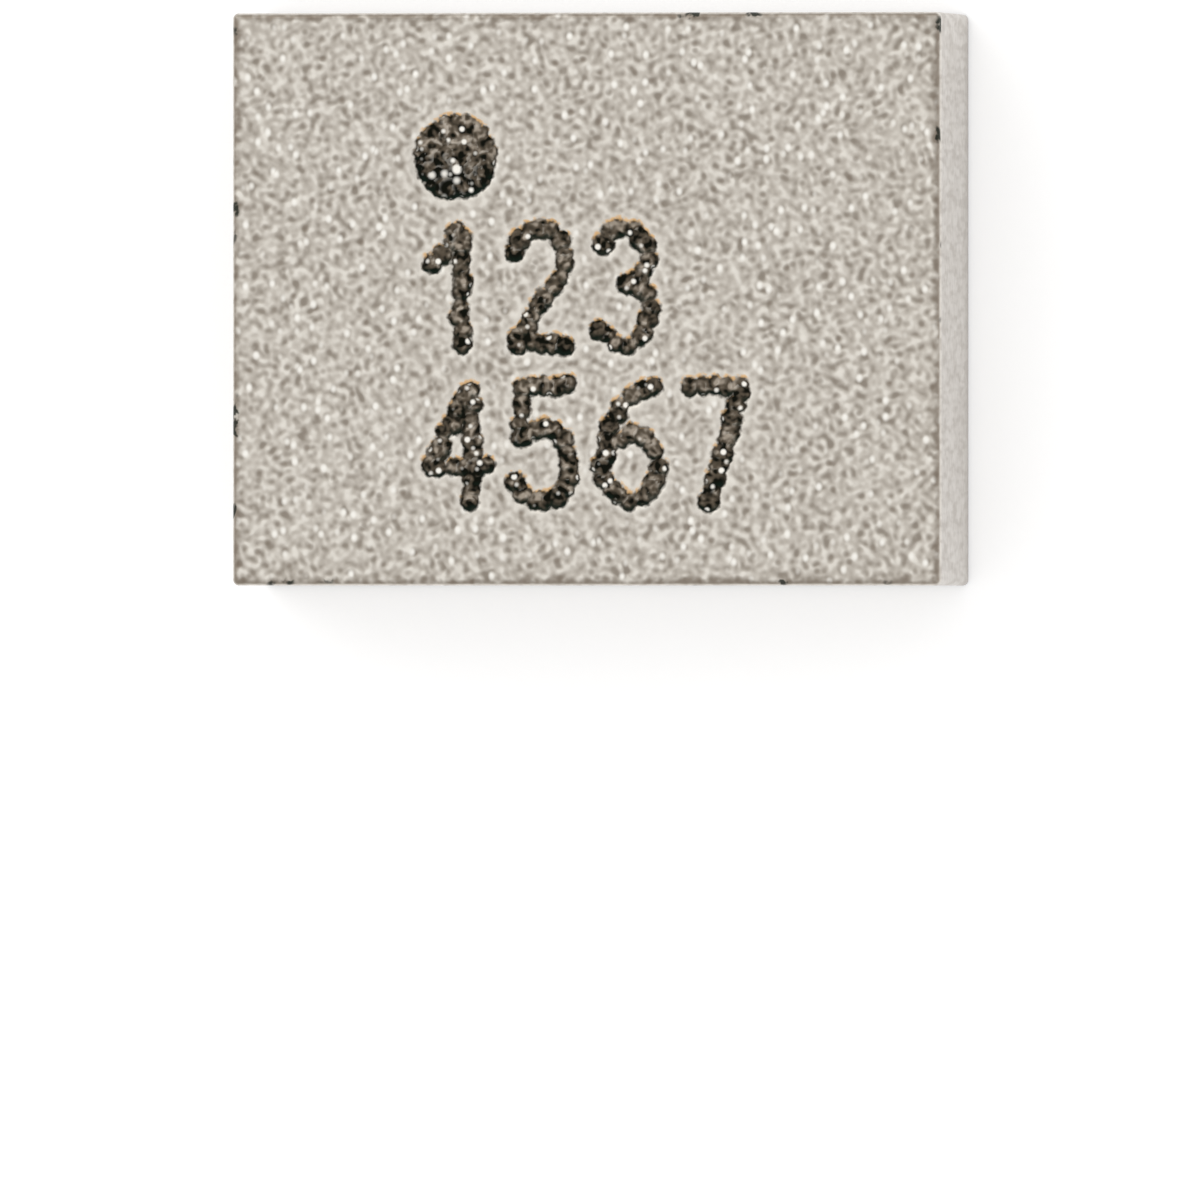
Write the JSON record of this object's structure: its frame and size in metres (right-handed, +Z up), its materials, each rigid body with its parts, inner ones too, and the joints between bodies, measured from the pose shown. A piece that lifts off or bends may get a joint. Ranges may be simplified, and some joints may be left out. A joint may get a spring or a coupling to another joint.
{
  "type": "shielded amplifier chip",
  "caption": "Shielded land-grid amplifier module: sputtered metal coat over a moulded block, with gold contacts and a chamfered ground paddle underneath.",
  "frame": {"origin": "middle of the seating plane, on the crest of the solder mask of the underside", "axes": "+Z up through the marked face, +X along the length, +Y towards the side of contact 1; contact 1 is at -X +Y"},
  "size_m": [0.0024, 0.002, 0.0007],
  "materials": {
    "shield": "sputtered stainless steel over copper, satin with a fine speckle",
    "mould": "black epoxy moulding compound, sawn",
    "laminate": "glass-epoxy laminate, brown, satin",
    "solder_mask": "dark green solder mask, semi-gloss",
    "gold": "electroless nickel and gold finish, fine-grained satin",
    "copper": "etched copper foil, satin",
    "via_copper": "plated copper fill",
    "attach": "silver-filled epoxy, grey, matt",
    "die": "semiconductor die, dark, polished with a passivated face",
    "bond_pads": "bond metal, satin",
    "bond_wire": "drawn gold wire, bright",
    "inductor_ceramic": "white alumina, matt",
    "capacitor_ceramic": "tan barium titanate ceramic, satin",
    "terminal_tin": "matt tin plating",
    "solder": "reflowed tin solder, bright"
  },
  "bodies": {
    "root": {"shield_coat": "shield", "mould_compound": "mould", "laminate_core": "laminate", "bottom_solder_mask": "solder_mask", "top_solder_mask": "solder_mask", "ground_paddle": "gold", "contact_pad_1": "gold", "contact_pad_2": "gold", "contact_pad_3": "gold", "contact_pad_4": "gold", "contact_pad_5": "gold", "contact_pad_6": "gold", "bottom_ground_copper": "copper", "pin_1_copper": "copper", "pin_3_copper": "copper", "pin_6_copper": "copper", "die_flag_copper": "copper", "input_trace_copper": "copper", "input_finger_copper": "copper", "output_trace_copper": "copper", "output_finger_copper": "copper", "supply_trace_copper": "copper", "ground_vias": "via_copper", "pin_1_via": "via_copper", "pin_3_via": "via_copper", "pin_6_via": "via_copper", "die_attach": "attach", "amplifier_die": "die", "die_bond_pads": "bond_pads", "input_bond_wire": "bond_wire", "output_bond_wire_1": "bond_wire", "output_bond_wire_2": "bond_wire", "supply_bond_wire": "bond_wire", "ground_bond_wire_1": "bond_wire", "ground_bond_wire_2": "bond_wire", "ground_bond_wire_3": "bond_wire", "ground_bond_wire_4": "bond_wire", "input_inductor_body": "inductor_ceramic", "input_inductor_terminals": "terminal_tin", "input_inductor_solder": "solder", "output_capacitor_body": "capacitor_ceramic", "output_capacitor_terminals": "terminal_tin", "output_capacitor_solder": "solder", "bypass_capacitor_body": "capacitor_ceramic", "bypass_capacitor_terminals": "terminal_tin", "bypass_capacitor_solder": "solder"}
  },
  "joints": []
}
